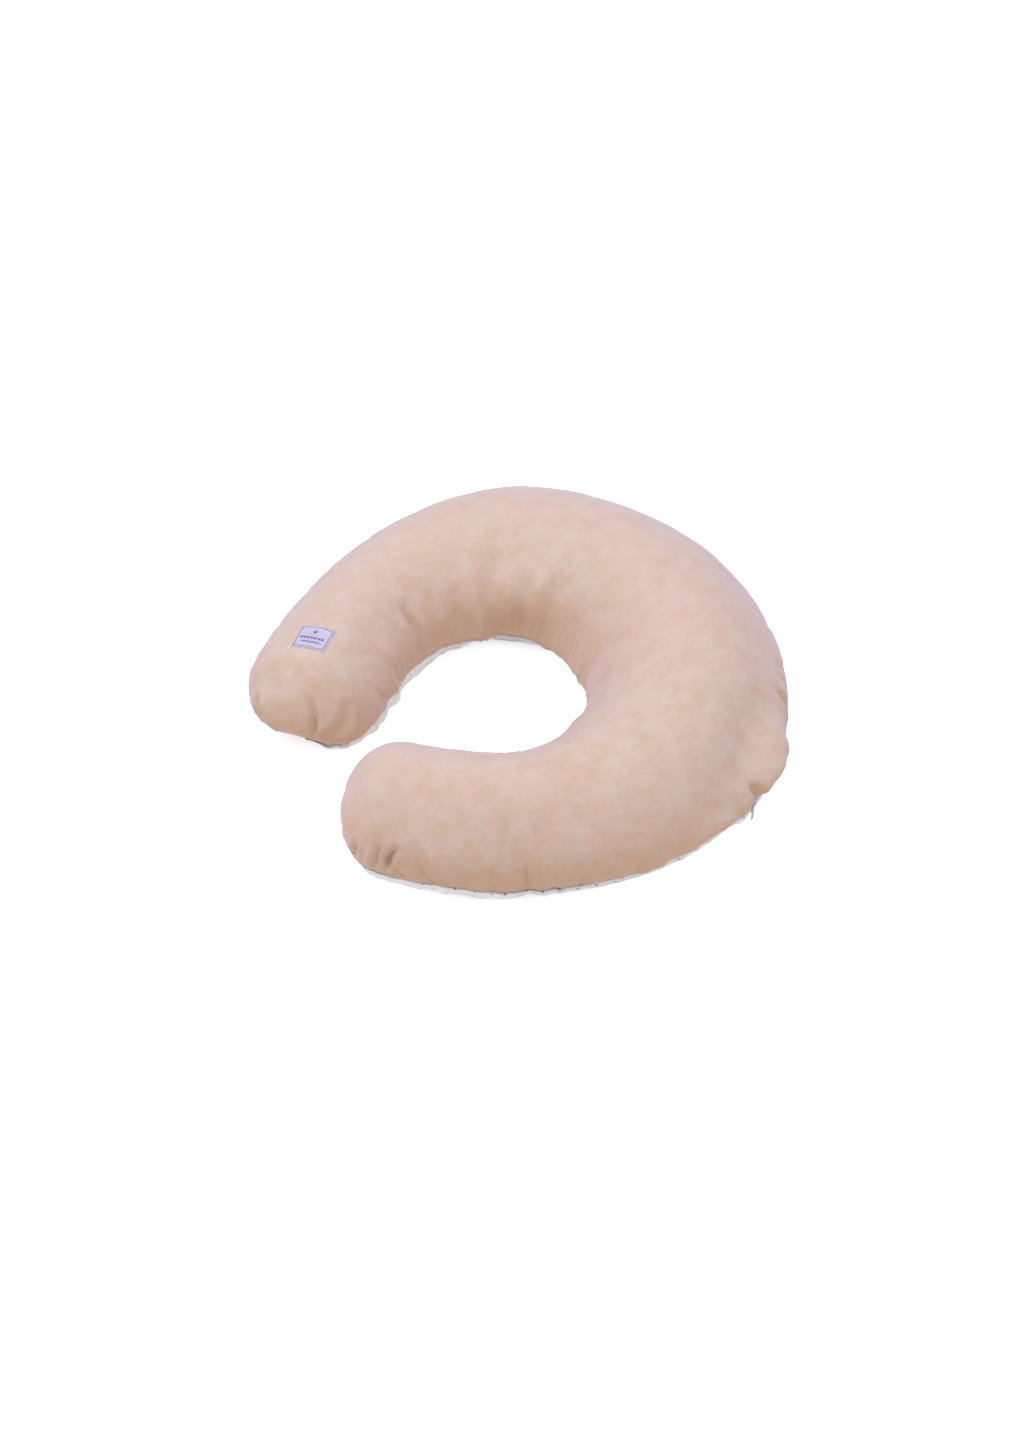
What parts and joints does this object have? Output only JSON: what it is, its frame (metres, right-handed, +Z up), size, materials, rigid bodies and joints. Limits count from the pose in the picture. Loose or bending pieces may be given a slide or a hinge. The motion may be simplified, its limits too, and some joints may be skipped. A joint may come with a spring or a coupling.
{
  "type": "nursing pillow",
  "caption": "C-shaped stuffed nursing pillow lying flat, with a velour top, a cotton underside, and a seam zip whose slider and hanging pull move.",
  "frame": {"origin": "centre of the cushion's outline, on the flat underside", "axes": "+X across the cushion's width, +Y towards the closed back, so the horns open towards -Y, +Z up"},
  "size_m": [0.5606, 0.5371, 0.1269],
  "materials": {
    "velour_beige": "soft matt pile",
    "cotton_white_dotted": "matt weave",
    "thread_white": "matt",
    "zip_tape_white": "matt",
    "zip_coil_white": "satin",
    "zip_metal_nickel": "satin",
    "label_satin_lavender": "satin",
    "care_label_white": "satin",
    "casing_cotton": "matt weave",
    "polyester_fibre": "fluffy"
  },
  "bodies": {
    "cushion": {"cover_top_panel": "velour_beige", "cover_bottom_panel": "cotton_white_dotted", "cover_seam_thread": "thread_white", "zip_tape_upper": "zip_tape_white", "zip_tape_lower": "zip_tape_white", "zip_coil_upper": "zip_coil_white", "zip_coil_lower": "zip_coil_white", "zip_stitch_upper": "thread_white", "zip_stitch_lower": "thread_white", "zip_end_tack_left": "thread_white", "zip_end_tack_right": "thread_white", "sewn_label": "label_satin_lavender", "label_stitch": "thread_white", "care_label": "care_label_white", "inner_casing_top": "casing_cotton", "inner_casing_bottom": "casing_cotton", "inner_casing_seam_thread": "thread_white", "inner_casing_closing_stitch": "thread_white", "fibre_filling": "polyester_fibre"},
    "zip_slider": {"zip_slider_body": "zip_metal_nickel"},
    "zip_pull": {"zip_pull_tab": "zip_metal_nickel"}
  },
  "joints": [
    {"name": "slider_travel", "type": "hinge", "parent": "cushion", "child": "zip_slider", "pos_m": [0, -0.0204, 0.034], "axis": [0, 0, 1], "range_deg": [0, 118.8]},
    {"name": "pull_swing", "type": "hinge", "parent": "zip_slider", "child": "zip_pull", "pos_m": [0.2497, 0.12727, 0.034], "axis": [0.509, -0.8607, 0], "range_deg": [0, 170]}
  ]
}
